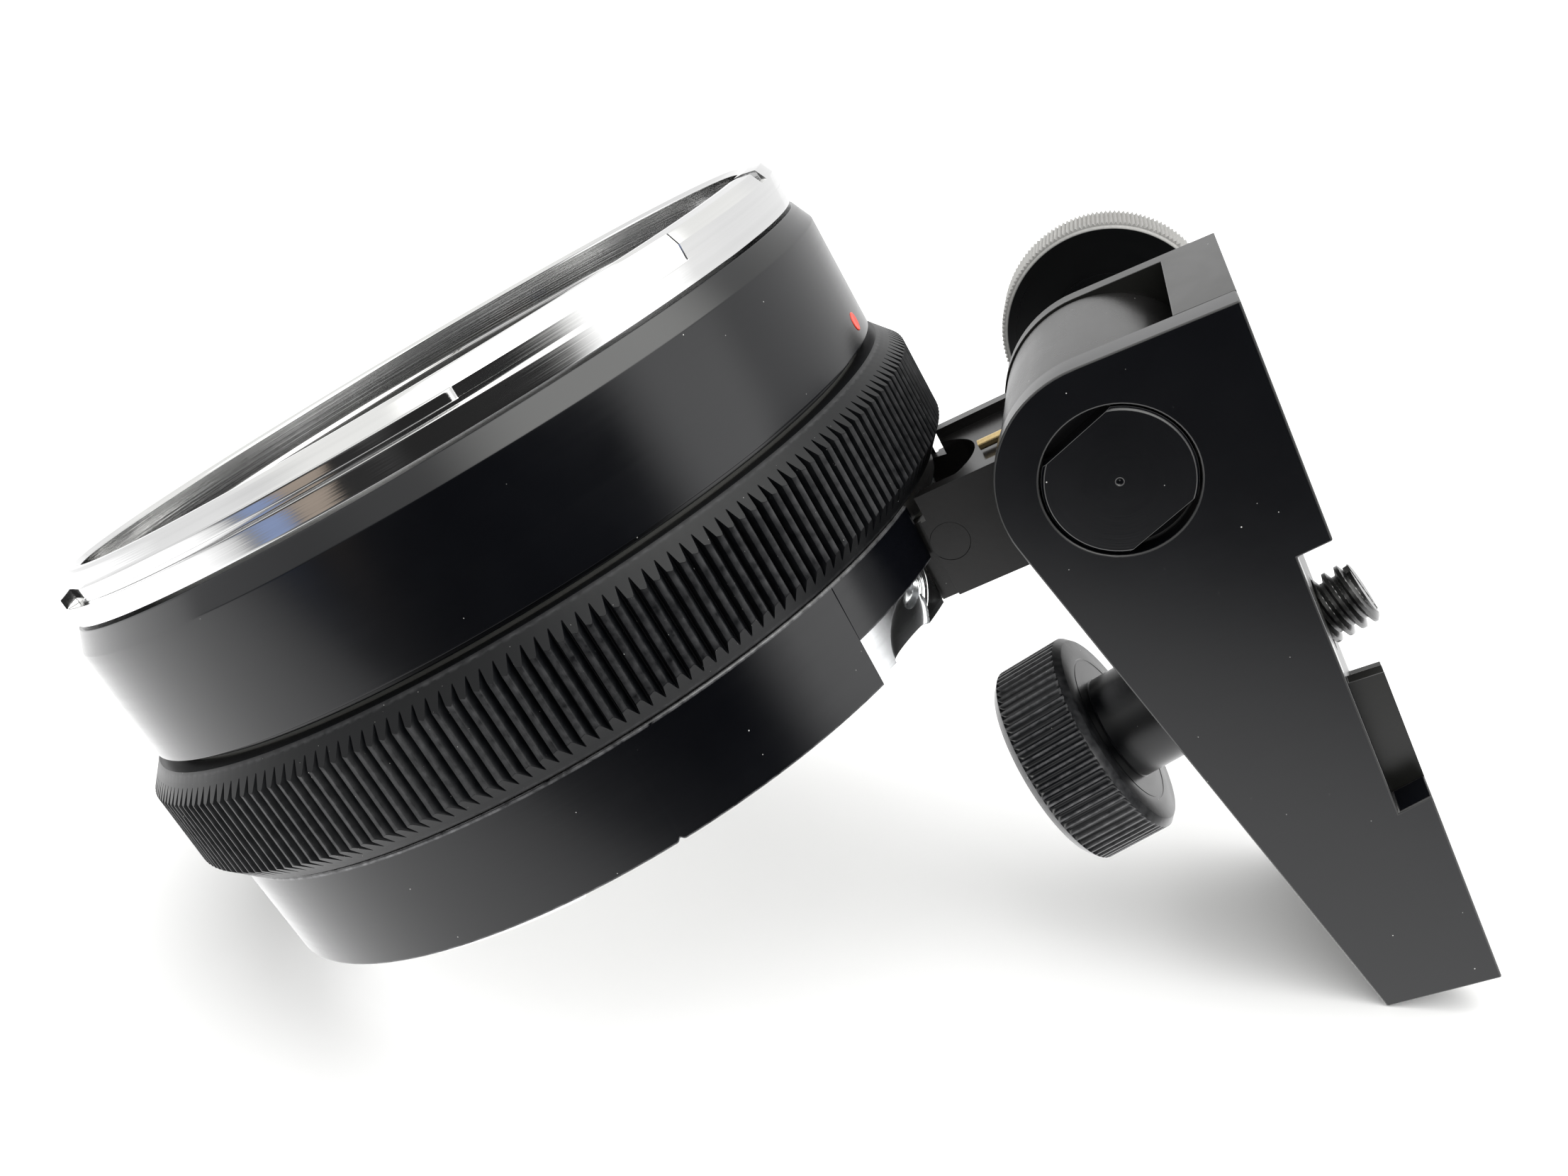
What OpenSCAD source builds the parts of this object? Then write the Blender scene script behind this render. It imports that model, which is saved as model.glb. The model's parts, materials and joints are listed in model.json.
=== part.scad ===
// Lens ring carrier: a lens mount ring held by a clamped tilt hinge on a rail bracket.
// The ring has a bright front bayonet, a black barrel, a knurled grip ring that turns, a rear
// barrel and a bright rear mount. A square arm joins it to a hinge knuckle, which a big pivot
// bolt and a knurled clamp knob pinch between a side plate and the bracket's far cheek. A quarter
// inch screw with its own knob fixes the bracket to a rail.
// Everything is in millimetres. +Z is up, and the piece lies on its ring's rim and bracket's foot.

/* [Pose] */
// lean of the bracket away from upright, as it lies on the floor (degrees)
rest_tilt = 25.66; // [0:0.01:60]
// swing of the ring about the hinge, from square to the bracket (degrees)
ring_swing = -3.09; // [-20:0.01:45]

/* [Ring] */
// outer radius of the bright front flange
flange_r = 39.3; // [30:0.05:50]
// height of the front flange above the barrel's seam
flange_h = 2.2; // [1:0.05:4]
// outer radius of the front collar
collar_r = 38.2; // [30:0.05:48]
// height of the front collar's rim above the seam
collar_top = 5; // [3:0.05:8]
// inner radius of the front collar
collar_bore_r = 36.2; // [28:0.05:46]
// clear radius through the ring
clear_r = 33.6; // [25:0.05:44]
// outer radius of the bayonet lugs
lug_r = 38.95; // [36:0.05:46]
// radius of the barrel at its chamfered top edge
barrel_top_r = 39.45; // [30:0.05:50]
// radius of the front barrel
barrel_r = 40.45; // [30:0.05:52]
// depth of the barrel's top chamfer
barrel_chamfer = 2.05; // [0:0.05:4]
// depth of the front barrel below the seam
barrel_bottom = 13.3; // [8:0.1:25]
// depth of the grip ring's top edge below the seam
grip_top = 14.3; // [9:0.1:26]
// depth of the grip ring's bottom edge below the seam
grip_bottom = 26; // [15:0.1:40]
// radius of the grip ring over its teeth
grip_r = 42.7; // [35:0.05:55]
// radius of the grip ring's plain edges
grip_edge_r = 41; // [34:0.05:54]
// number of knurl teeth round the grip ring
grip_teeth = 216; // [60:1:260]
// depth of the knurl's cuts
grip_cut = 1.05; // [0.1:0.05:1.5]
// radius of the rear barrel
rear_r = 40.1; // [30:0.05:52]
// depth of the rear rim below the seam
rear_bottom = 36.5; // [25:0.1:50]
// reach of the rear mount's lugs beyond the rear rim
rear_lug = 0.8; // [0:0.05:3]
// bore radius of the barrels round the inner sleeve
barrel_bore_r = 37.4; // [28:0.05:46]
// bore radius of the inner sleeve
sleeve_bore_r = 35.4; // [26:0.05:45]

/* [Arm and knuckle] */
// distance from the ring's axis to the hinge
hinge_reach = 57.25; // [45:0.05:80]
// depth of the hinge below the seam
hinge_drop = 31.3; // [20:0.05:45]
// thickness of the arm
arm_t = 10.1; // [6:0.1:18]
// half width of the arm and knuckle
arm_half = 10.15; // [6:0.05:15]
// radius of the knuckle
knuckle_r = 10.4; // [7:0.05:16]
// depth of the milled pocket in the arm's top
pocket_d = 6.6; // [2:0.1:9]
// width of the milled pocket
pocket_w = 16.8; // [6:0.1:18]

/* [Bracket] */
// radius of the bracket's boss round the hinge
boss_r = 10.6; // [8:0.05:18]
// distance from the hinge to the mounting face
face_x = 14.17; // [10:0.05:25]
// depth of the bracket's rail channel
channel_d = 3.15; // [1:0.05:6]
// distance from the hinge down to the channel's step
step_z = 11.65; // [8:0.05:30]
// distance from the hinge down to the side plate's notch end
notch_z = 38; // [20:0.05:55]
// distance from the hinge down to the guide rib's top
rib_z = 26.75; // [15:0.05:50]
// distance from the hinge down to the foot
foot_z = 58.8; // [40:0.05:80]
// distance from the hinge line forward to the foot's front edge
foot_x = 3.6; // [-5:0.05:10]
// half width of the slot between the cheeks
slot_half = 10.3; // [6:0.05:15]
// thickness of the near side plate
plate_t = 3.65; // [2:0.05:8]
// thickness of the far cheek
cheek_t = 2.45; // [2:0.05:8]
// distance from the hinge to the slot's back wall
slot_x = 8.8; // [6:0.05:12]
// lean of the mounting screw above square (degrees)
screw_lean = 12.3; // [0:0.1:20]
// distance from the hinge down to the screw's crossing of the face
screw_z = 23.4; // [15:0.05:40]

/* [Hinge hardware] */
// radius of the counterbore for the pivot bolt's head
head_bore_r = 6.75; // [4:0.05:10]
// radius of the pivot bolt's head
head_r = 6.55; // [4:0.05:10]
// distance from the head's middle to each flat
head_flat = 5.35; // [3:0.05:8]
// turn of the flats from the bracket's length (degrees)
head_turn = 69; // [-90:1:90]
// radius of the pivot bolt's shank
pivot_r = 4; // [2:0.05:6]
// distance from the middle plane to the clamp knob's disc
clamp_y = 36; // [20:0.1:50]
// thickness of the clamp knob's disc
clamp_t = 7.5; // [4:0.1:14]
// radius of the clamp knob
clamp_r = 12; // [8:0.05:20]
// number of knurl teeth round the clamp knob
clamp_teeth = 150; // [20:1:200]

/* [Mounting screw] */
// radius of the quarter inch screw
screw_r = 3.15; // [2:0.01:5]
// reach of the screw's tip beyond the mounting face
screw_tip = 1; // [0:0.05:6]
// distance from the mounting face to the knob's near face, along the screw
knob_near = 25.8; // [18:0.05:40]
// thickness of the knob's disc
knob_t = 8.1; // [4:0.05:12]
// radius of the knob
knob_r = 10.65; // [7:0.05:16]
// radius of the knob's plain neck
neck_r = 5.4; // [3:0.05:8]
// number of knurl teeth round the knob
knob_teeth = 70; // [20:1:90]

/* [Hidden] */
// depth of the shoulder where the sleeve meets the front barrel
shoulder_z = 1.8;
// radii of the sleeve's seat for the rear barrel and of its rear end
seat_r = 38.2;
foot_r = 36.9;
// radius of the circle of small screws in the bright mounts
screw_ring_r = 35.1;
// depth of the counterbore for the bolt's head
head_bore_d = 2.3;
// thickness of the ribs beside the rail channel
near_rib = 1.4;
far_rib = 1.5;
// outer radius of the bush, and the clearance radius round the knuckle
bush_r = pivot_r + 1.5;
relief_r = knuckle_r + 0.3;
// radius and thickness of the friction washers, and the depth of their seats
washer_r = 9;
washer_t = 0.5;
washer_seat = 0.45;
// end of the arm's round pocket, depth of the shelf before it, and the start of the arm's outer faces
pocket_end = 44.8;
shelf_d = 1;
arm_start = 39.4;
// places of the cross pin and the dowels
cross_pin_x = 41;
dowel_y = 4.5;
dowel_z = -34.9;
// places of the side plate's screws
plate_screw_at = [[11.5, 0, -5], [4, 0, -44], [9.5, 0, -53]];
// inner radius of the rear rim, and the radius of the rear mount inside it
rear_rim_in = 38.9;
rear_mount_r = 38.75;
// radius of the sleeve's land under the grip ring
land_r = 38.8;
// height of the plain edges beside each knurl
grip_edge_h = 1.2;
knob_edge_h = 0.6;
clamp_edge_h = 0.35;
// bevel at the knuckle's ends
knuckle_bevel = 0.35;
// radial gap round the mounting screw in the bracket's bore, wide enough for a square hole in a rail
bore_gap = 0.6;
// place of the stop pin in the knuckle
stop_y = -2;
stop_z = -26.6;
stop_x = 45.7;
plate_in = -slot_half;
plate_out = -slot_half - plate_t;
cheek_out = slot_half + cheek_t;
mid_y = (plate_out + cheek_out) / 2;
floor_x = face_x - channel_d;
hinge_height = foot_z * cos(rest_tilt) - foot_x * sin(rest_tilt);
// shift that centres the footprint on the origin
place_x = 31.668;
place_y = -0.4;
// lean of the bracket's front edge, tangent to the boss
front_lean = atan(foot_x / foot_z) + asin(boss_r / norm([foot_x, foot_z]));
black = [0.05, 0.05, 0.055];
bright = [0.78, 0.78, 0.8];
brass = [0.72, 0.58, 0.3];
$fn = 96;

// places children from the bracket's frame: hinge at the origin, length along Z, rail face to +X
module in_bracket() {
    translate([place_x, place_y, hinge_height]) rotate([0, -rest_tilt, 0]) children();
}

// places children from the ring's frame: seam at the origin, axis along Z, arm to +X
module in_ring() {
    in_bracket() rotate([0, ring_swing, 0]) translate([-hinge_reach, 0, hinge_drop]) children();
}

// within the ring's frame, places children at the hinge
module at_hinge() {
    translate([hinge_reach, 0, -hinge_drop]) children();
}

// places children from the screw's frame: origin where the screw crosses the face, axis along X
module in_screw() {
    in_bracket() translate([face_x, mid_y, -screw_z]) rotate([0, -screw_lean, 0]) children();
}

// a tube on Z from z0 to z1
module tube(r_out, r_in, z0, z1) {
    translate([0, 0, z0]) difference() {
        cylinder(r = r_out, h = z1 - z0);
        translate([0, 0, -1]) cylinder(r = r_in, h = z1 - z0 + 2);
    }
}

// a cylinder along +Y that starts at y0
module y_rod(r, y0, h, fn = $fn) {
    translate([0, y0, 0]) rotate([-90, 0, 0]) cylinder(r = r, h = h, $fn = fn);
}

// a wedge that keeps the angles from a0 to a1, measured from +X
module sector(a0, a1, r, z0, z1) {
    n = ceil((a1 - a0) / 30);
    far = 1.3 * r;
    translate([0, 0, z0]) linear_extrude(height = z1 - z0)
        polygon(concat([[0, 0]], [for (i = [0:n]) let (a = a0 + (a1 - a0) * i / n) far * [cos(a), sin(a)]]));
}

// part of a tube between two angles
module arc_tube(r_out, r_in, z0, z1, a0, a1) {
    intersection() {
        tube(r_out, r_in, z0, z1);
        sector(a0, a1, r_out, z0 - 1, z1 + 1);
    }
}

// a knurled disc on Z from z0 to z1: V cuts between two plain edges
module knurled(r, cut, teeth, edge_r, edge_h, z0, z1) {
    translate([0, 0, z0 + edge_h]) linear_extrude(height = z1 - z0 - 2 * edge_h)
        polygon([for (i = [0:2 * teeth - 1])
            let (a = 180 * i / teeth, q = r - cut * (i % 2)) q * [cos(a), sin(a)]]);
    rotate_extrude() polygon([[0, z0], [edge_r - 0.3, z0], [edge_r, z0 + 0.3], [edge_r, z1 - 0.3],
        [edge_r - 0.3, z1], [0, z1]]);
}

// Front bayonet: flange, collar and three lugs, with an inner flange for its screws
module front_bayonet() {
    color(bright) in_ring() difference() {
        union() {
            rotate_extrude() polygon([[clear_r + 0.4, 0.3], [flange_r - 0.15, 0.3], [flange_r, 0.45],
                [flange_r, flange_h - 0.15], [flange_r - 0.15, flange_h], [collar_r, flange_h],
                [collar_r, collar_top - 0.3], [collar_r - 0.3, collar_top], [collar_bore_r + 0.4, collar_top],
                [collar_bore_r, collar_top - 0.4], [collar_bore_r, 1.6], [clear_r + 0.4, 1.6]]);
            arc_tube(lug_r, collar_r - 0.5, 2.75, 4.1, -129, -60.5);
            arc_tube(flange_r + 0.1, collar_r - 0.5, 2, 3.7, -205, -139);
            arc_tube(flange_r, collar_r - 0.5, 2, collar_top - 0.15, -27, 43);
            arc_tube(lug_r, collar_r - 0.5, 2.75, 4.1, 76, 129);
        }
        // index notch in the rim
        translate([collar_r, 0, collar_top]) cube([3.4, 2.2, 1.8], center = true);
        for (a = [20:90:290]) rotate(a) translate([screw_ring_r, 0, 0.2]) {
            cylinder(r = 0.6, h = 2);
            translate([0, 0, 0.8]) cylinder(r1 = 0.55, r2 = 1.05, h = 0.7);
        }
    }
}

// Four countersunk screws that hold the bayonet to the barrel
module bayonet_screws() {
    color(bright) in_ring() for (a = [20:90:290]) rotate(a) translate([screw_ring_r, 0, 0]) difference() {
        union() {
            translate([0, 0, 0.3]) cylinder(r = 0.5, h = 1);
            translate([0, 0, 1.05]) cylinder(r1 = 0.5, r2 = 0.9, h = 0.42);
        }
        translate([0, 0, 1.47]) cube([2, 0.25, 0.4], center = true);
    }
}

// Front barrel: black tube with a chamfered top edge and an inner shoulder
module front_barrel() {
    color(black) in_ring() difference() {
        rotate_extrude() polygon([[clear_r + 0.6, 0], [barrel_top_r - 0.1, 0], [barrel_top_r, -0.1],
            [barrel_r, -barrel_chamfer], [barrel_r, -barrel_bottom + 0.2], [barrel_r - 0.2, -barrel_bottom],
            [39.3, -barrel_bottom], [39.3, -barrel_bottom - 0.6], [barrel_bore_r, -barrel_bottom - 0.6],
            [barrel_bore_r, -shoulder_z], [clear_r + 0.6, -shoulder_z]]);
        // cup for the index dot
        translate([barrel_r - 0.25, 0, -11.4]) rotate([0, 90, 0]) cylinder(r = 0.95, h = 3, $fn = 40);
    }
}

// Index dot: red enamel set in a shallow cup
module index_dot() {
    color([0.85, 0.1, 0.06]) in_ring() translate([barrel_r - 0.25, 0, -11.4]) rotate([0, 90, 0])
        cylinder(r = 0.9, h = 0.2, $fn = 40);
}

// Inner sleeve: blackened tube that carries both barrels, the grip ring's bearing and the arm
module inner_sleeve() {
    color([0.04, 0.04, 0.045]) in_ring() difference() {
        rotate_extrude() polygon([[sleeve_bore_r, -shoulder_z], [barrel_bore_r, -shoulder_z],
            [barrel_bore_r, -13.9], [land_r, -13.9], [land_r, -28.4], [seat_r, -28.4], [seat_r, -32],
            [foot_r, -32], [foot_r, -34.6], [sleeve_bore_r, -34.6]]);
        // shallow baffle grooves
        for (i = [0:5]) translate([0, 0, -6 - 4.4 * i]) tube(sleeve_bore_r + 0.5, 30, -0.6, 0.6);
    }
}

// Grip ring: knurled ring that turns on the inner sleeve
module grip_ring() {
    color(black) in_ring() difference() {
        knurled(grip_r, grip_cut, grip_teeth, grip_edge_r, grip_edge_h, -grip_bottom, -grip_top);
        translate([0, 0, -grip_bottom - 1]) cylinder(r = land_r + 0.05, h = grip_bottom - grip_top + 2);
    }
}

// Keeper: thin bright spring ring that loads the grip ring against its rear shoulder
module grip_keeper() {
    color(bright) in_ring() tube(39.8, 38.9, -28.3, -26.45);
}

// Rear barrel: black rim with an opening beside the arm that shows the bare pad
module rear_barrel() {
    color(black) in_ring() difference() {
        rotate_extrude() polygon([[40.1, -26.3], [rear_r + 0.15, -26.3], [rear_r + 0.25, -26.5],
            [rear_r, -rear_bottom + 0.25], [rear_r - 0.25, -rear_bottom], [rear_rim_in, -rear_bottom],
            [rear_rim_in, -34.7], [foot_r + 0.05, -34.7], [foot_r + 0.05, -32.05], [seat_r + 0.05, -32.05],
            [seat_r + 0.05, -28.5], [40.1, -28.5]]);
        // opening beside the arm
        intersection() {
            translate([0, 0, -40]) cylinder(r = 50, h = 8);
            sector(-34.3, 15, 50, -41, -30);
            translate([30, -30, -41]) cube([20, 40.5, 12]);
        }
        // seat for the arm
        translate([foot_r, -arm_half - 0.05, -hinge_drop - arm_t / 2 - 2])
            cube([10, 2 * arm_half + 0.1, arm_t + 2.05]);
    }
}

// Mount pad: bare aluminium block in the opening, with a slanting threaded hole and a milled scoop
module mount_pad() {
    color(bright) in_ring() difference() {
        intersection() {
            tube(39.3, 37.45, -rear_bottom + 0.15, -32.25);
            sector(-34, -15.3, 50, -40, -30);
        }
        rotate(-19.5) translate([38.8, 0, -33.7]) rotate([0, 65, -22]) translate([0, 0, -0.9])
            cylinder(r = 0.85, h = 6, $fn = 32);
        rotate(-26) translate([38.9, 0, -35]) rotate([0, 90, 0]) cylinder(r = 1.1, h = 3, $fn = 32);
    }
}

// Rear mount: bright ring inside the rear rim, with three lugs that stand just past it
module rear_mount() {
    color(bright) in_ring() difference() {
        union() {
            tube(rear_mount_r, clear_r + 0.2, -rear_bottom + 0.2, -34.75);
            for (a = [-92, 28, 148])
                arc_tube(rear_mount_r, 36.6, -rear_bottom - rear_lug, -rear_bottom + 1, a - 12, a + 12);
        }
        // clearance behind the mount pad
        difference() {
            sector(-34.6, -14.9, 50, -40, -30);
            translate([0, 0, -41]) cylinder(r = 37.3, h = 12);
        }
        for (a = [70:90:340]) rotate(a) translate([screw_ring_r, 0, -38]) {
            cylinder(r = 0.6, h = 5);
            cylinder(r = 1.05, h = 2.3);
        }
    }
}

// Four slotted screws that hold the rear mount to the sleeve
module rear_screws() {
    color(bright) in_ring() for (a = [70:90:340]) rotate(a) translate([screw_ring_r, 0, 0]) difference() {
        union() {
            translate([0, 0, -36.05]) cylinder(r = 0.5, h = 1.3);
            translate([0, 0, -36.25]) cylinder(r = 0.95, h = 0.5);
        }
        translate([0, 0, -36.25]) cube([3, 0.25, 0.4], center = true);
    }
}

// Arm block: square arm with a stepped pocket, a rounded knuckle at the hinge and a curved seat
module arm_block() {
    arm_top = -hinge_drop + arm_t / 2;
    color(black) in_ring() difference() {
        union() {
            difference() {
                translate([37.5, -arm_half, arm_top - arm_t]) cube([hinge_reach - 37.5, 2 * arm_half, arm_t]);
                // shelf between the two rails, and the round-ended pocket milled into it
                translate([37, -pocket_w / 2, arm_top - shelf_d]) cube([hinge_reach - 41, pocket_w, 3]);
                translate([pocket_end - pocket_w / 2, 0, arm_top - pocket_d])
                    cylinder(r = pocket_w / 2, h = 10);
                // the outer faces start clear of the rear barrel
                for (s = [-1, 1]) translate([arm_start - 5, s * (arm_half + 0.45) - 1, arm_top - arm_t - 1])
                    cube([5, 2, arm_t + 2]);
            }
            at_hinge() rotate([-90, 0, 0]) rotate_extrude() polygon([[0, -arm_half],
                [knuckle_r - knuckle_bevel, -arm_half], [knuckle_r, knuckle_bevel - arm_half],
                [knuckle_r, arm_half - knuckle_bevel], [knuckle_r - knuckle_bevel, arm_half], [0, arm_half]]);
        }
        // curved seat on the sleeve and clearance under the grip ring
        translate([0, 0, -45]) cylinder(r = rear_rim_in, h = 16.4);
        translate([0, 0, -28.6]) cylinder(r = 41.2, h = 10);
        // bore for the bush, and seats for the friction washers
        at_hinge() {
            y_rod(bush_r, -20, 40);
            y_rod(washer_r + 0.1, arm_half - washer_seat, 2);
            y_rod(washer_r + 0.1, -arm_half + washer_seat - 2, 2);
        }
        // cross pin hole
        translate([cross_pin_x, 0, -hinge_drop]) y_rod(1.85, -20, 20.5 - pocket_w / 2, 48);
        // holes for the dowels and the stop pin
        for (s = [-1, 1]) translate([36, s * dowel_y, dowel_z]) rotate([0, 90, 0])
            cylinder(r = 1, h = 7, $fn = 32);
        translate([44, stop_y, stop_z]) rotate([0, 90, 0]) cylinder(r = 0.55, h = 7.2, $fn = 24);
    }
}

// Cross pin: plug pressed flush into the arm's near side
module arm_cross_pin() {
    color(black) in_ring() translate([cross_pin_x, 0, -hinge_drop]) y_rod(1.8, -arm_half + 0.04, 1.7, 48);
}

// Two dowels that key the arm to the rear barrel
module arm_dowels() {
    color(bright) in_ring() for (s = [-1, 1]) translate([39, s * dowel_y, dowel_z]) rotate([0, 90, 0])
        cylinder(r = 0.95, h = 3.6, $fn = 32);
}

// Stop pin: small brass pin that stands out of the knuckle over the arm's pocket
module stop_pin() {
    color(brass) in_ring() translate([stop_x, stop_y, stop_z]) rotate([0, 90, 0])
        cylinder(r = 0.5, h = 51.1 - stop_x, $fn = 24);
}

// Knuckle bush: brass sleeve in the knuckle, turns on the pivot bolt
module knuckle_bush() {
    color(brass) in_ring() at_hinge() difference() {
        y_rod(bush_r, -9.6, 19.2);
        y_rod(pivot_r + 0.04, -11, 22);
    }
}

// a slab from y0 to y1 with the bracket's side outline: boss, square back, front edge tangent to the boss
module side_slab(y0, y1) {
    translate([0, y1, 0]) rotate([90, 0, 0]) {
        cylinder(r = boss_r, h = y1 - y0);
        linear_extrude(height = y1 - y0) polygon([[0, boss_r], [face_x, boss_r], [face_x, -foot_z],
            [foot_x, -foot_z], boss_r * [-cos(front_lean), -sin(front_lean)], [0, 0]]);
    }
}

// Bracket body: far cheek, back wall and leg in one, with the slot, rail channel and screw bore
module bracket_body() {
    color(black) difference() {
        in_bracket() difference() {
            side_slab(plate_in, cheek_out);
            // slot between the cheeks, relieved round the knuckle
            translate([-20, plate_in - 1, -relief_r]) cube([20 + slot_x, 2 * slot_half + 1, 30]);
            y_rod(relief_r, plate_in - 1, 2 * slot_half + 1);
            // rail channel between the ribs, cleared up to the step
            translate([floor_x, plate_in + near_rib, -foot_z - 1])
                cube([9, cheek_out - far_rib - plate_in - near_rib, foot_z + 1 - step_z]);
            // the near rib starts lower down, the far one lower still
            translate([floor_x, plate_in - 1, -rib_z]) cube([9, 4, rib_z - step_z]);
            translate([floor_x, slot_half, -notch_z]) cube([9, 9, notch_z - step_z]);
            // pivot hole in the far cheek
            y_rod(pivot_r + 0.05, 5, 20);
            // holes for the plate screws, sunk from the far side
            for (p = plate_screw_at) translate(p) {
                y_rod(1.3, plate_in - 1, 30, 32);
                y_rod(2.3, cheek_out - 2, 5, 40);
            }
        }
        in_screw() rotate([0, 90, 0]) translate([0, 0, -40]) {
            cylinder(r = screw_r + bore_gap, h = 50);
            cylinder(r = neck_r + 0.06, h = 29.6);
        }
    }
}

// Side plate: near cheek, screwed to the body, with its own longer notch and the bolt's counterbore
module side_plate() {
    color(black) in_bracket() difference() {
        side_slab(plate_out, plate_in);
        // notch with walls that lean like the screw
        translate([0, plate_in + 1, 0]) rotate([90, 0, 0]) linear_extrude(height = plate_t + 2)
            polygon([[floor_x, -step_z - 0.35], [face_x + 4, -step_z + 0.45],
                [face_x + 4, -notch_z + 0.95], [floor_x, -notch_z - 0.7]]);
        y_rod(head_bore_r, plate_out - 1, 1 + head_bore_d);
        y_rod(pivot_r + 0.05, plate_out - 1, 10);
        for (p = plate_screw_at) translate(p) y_rod(1, plate_in - 2.4, 5, 32);
    }
}

// Three cap screws that hold the side plate, entered from the far side
module plate_screws() {
    color([0.12, 0.12, 0.13]) in_bracket() for (p = plate_screw_at) translate(p) difference() {
        union() {
            y_rod(0.95, plate_in - 2.2, cheek_out - plate_in + 1, 32);
            y_rod(2.15, cheek_out - 1.95, 1.75, 40);
        }
        y_rod(1.1, cheek_out - 1.1, 3, 6);
    }
}

// Two fibre washers that give the hinge its friction
module friction_washers() {
    color([0.2, 0.18, 0.16]) in_bracket() for (y0 = [-slot_half, slot_half - washer_t]) difference() {
        y_rod(washer_r, y0, washer_t);
        y_rod(pivot_r + 0.1, y0 - 1, washer_t + 2);
    }
}

// Pivot bolt: large round head with two flats, long shank and a threaded end for the clamp knob
module pivot_bolt() {
    head_y = plate_out - 0.05;
    color(black) in_bracket() difference() {
        union() {
            intersection() {
                union() {
                    translate([0, head_y, 0]) rotate([-90, 0, 0])
                        cylinder(r1 = head_r - 0.25, r2 = head_r, h = 0.3);
                    y_rod(head_r, head_y + 0.3, head_bore_d - 0.25);
                }
                rotate([0, head_turn, 0]) translate([-head_flat, -30, -10]) cube([2 * head_flat, 30, 20]);
            }
            y_rod(pivot_r, plate_out + 2, cheek_out + 0.3 - plate_out - 2);
            y_rod(3, cheek_out, clamp_y + clamp_t - cheek_out - 2);
        }
        // centre punch
        translate([0, head_y, 0]) rotate([-90, 0, 0]) cylinder(r1 = 0.35, r2 = 0.05, h = 0.4, $fn = 16);
    }
}

// Clamp washer: thin steel washer under the clamp knob's sleeve
module clamp_washer() {
    color(bright) in_bracket() translate([0, cheek_out, 0]) rotate([-90, 0, 0])
        tube(6, pivot_r + 0.15, 0, 0.8);
}

// Clamp knob: knurled disc with a stepped face and a long sleeve down to the washer
module clamp_knob() {
    color(black) in_bracket() rotate([-90, 0, 0]) difference() {
        union() {
            translate([0, 0, cheek_out + 0.85]) cylinder(r = 5.4, h = clamp_y - cheek_out);
            translate([0, 0, clamp_y - 0.5]) cylinder(r = 6.4, h = 1);
            knurled(clamp_r, 0.35, clamp_teeth, clamp_r - 0.4, clamp_edge_h, clamp_y, clamp_y + clamp_t);
        }
        // stepped outer face
        translate([0, 0, clamp_y + clamp_t - 0.6]) cylinder(r = clamp_r - 3, h = 2);
        translate([0, 0, cheek_out]) cylinder(r = 4.3, h = 40);
    }
}

// Clamp insert: brass nut pressed into the clamp knob, runs on the bolt's thread
module clamp_insert() {
    color(brass) in_bracket() rotate([-90, 0, 0]) tube(4.3, 3.05, cheek_out + 1.2, clamp_y + clamp_t - 0.7);
}

// Mounting screw: quarter inch stud with a relieved shank and a slotted tip
module mount_screw() {
    color([0.2, 0.2, 0.2]) in_screw() rotate([0, 90, 0]) difference() {
        rotate_extrude() polygon([[0, -knob_near - knob_t + 1], [2.9, -knob_near - knob_t + 1], [2.9, -9.4],
            [screw_r, -9.15], [screw_r, screw_tip - 0.45], [screw_r - 0.45, screw_tip], [0, screw_tip]]);
        translate([0, 0, screw_tip]) cube([8, 0.9, 1.4], center = true);
    }
}

// Mounting knob: knurled disc with chamfered edges and a plain neck
module mount_knob() {
    color(black) in_screw() rotate([0, 90, 0]) translate([0, 0, -knob_near - knob_t]) difference() {
        union() {
            knurled(knob_r, 0.4, knob_teeth, knob_r - 0.5, knob_edge_h, 0, knob_t);
            cylinder(r = neck_r, h = knob_near + knob_t - 11.3);
        }
        translate([0, 0, 0.95]) cylinder(r = 2.95, h = 40);
        translate([0, 0, -1]) cylinder(r = 6.5, h = 1.5);
        translate([0, 0, knob_t + 4]) rotate([90, 0, 0]) cylinder(r = 0.8, h = 20, center = true, $fn = 24);
    }
}

// Knob pin: cross pin that locks the knob to the screw
module knob_pin() {
    color(bright) in_screw() rotate([0, 90, 0]) translate([0, 0, -knob_near + 4]) rotate([90, 0, 0]) {
        translate([0, 0, 3.1]) cylinder(r = 0.75, h = 2.1, $fn = 24);
        translate([0, 0, -5.2]) cylinder(r = 0.75, h = 2.1, $fn = 24);
    }
}

// Retaining ring: keeps the screw from dropping out of the bracket
module retaining_ring() {
    color([0.2, 0.2, 0.2]) in_screw() rotate([0, 90, 0]) tube(4.6, 2.95, -11.2, -10.6);
}

front_bayonet();
bayonet_screws();
front_barrel();
index_dot();
inner_sleeve();
grip_ring();
grip_keeper();
rear_barrel();
mount_pad();
rear_mount();
rear_screws();
arm_block();
arm_cross_pin();
arm_dowels();
stop_pin();
knuckle_bush();
bracket_body();
side_plate();
plate_screws();
friction_washers();
pivot_bolt();
clamp_washer();
clamp_knob();
clamp_insert();
mount_screw();
mount_knob();
knob_pin();
retaining_ring();
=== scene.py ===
# Lens ring carrier: a lens mount ring held by a clamped tilt hinge on a rail bracket.
import json
import math

import bmesh
import bpy
import numpy as np
from mathutils import Matrix, Vector


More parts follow.
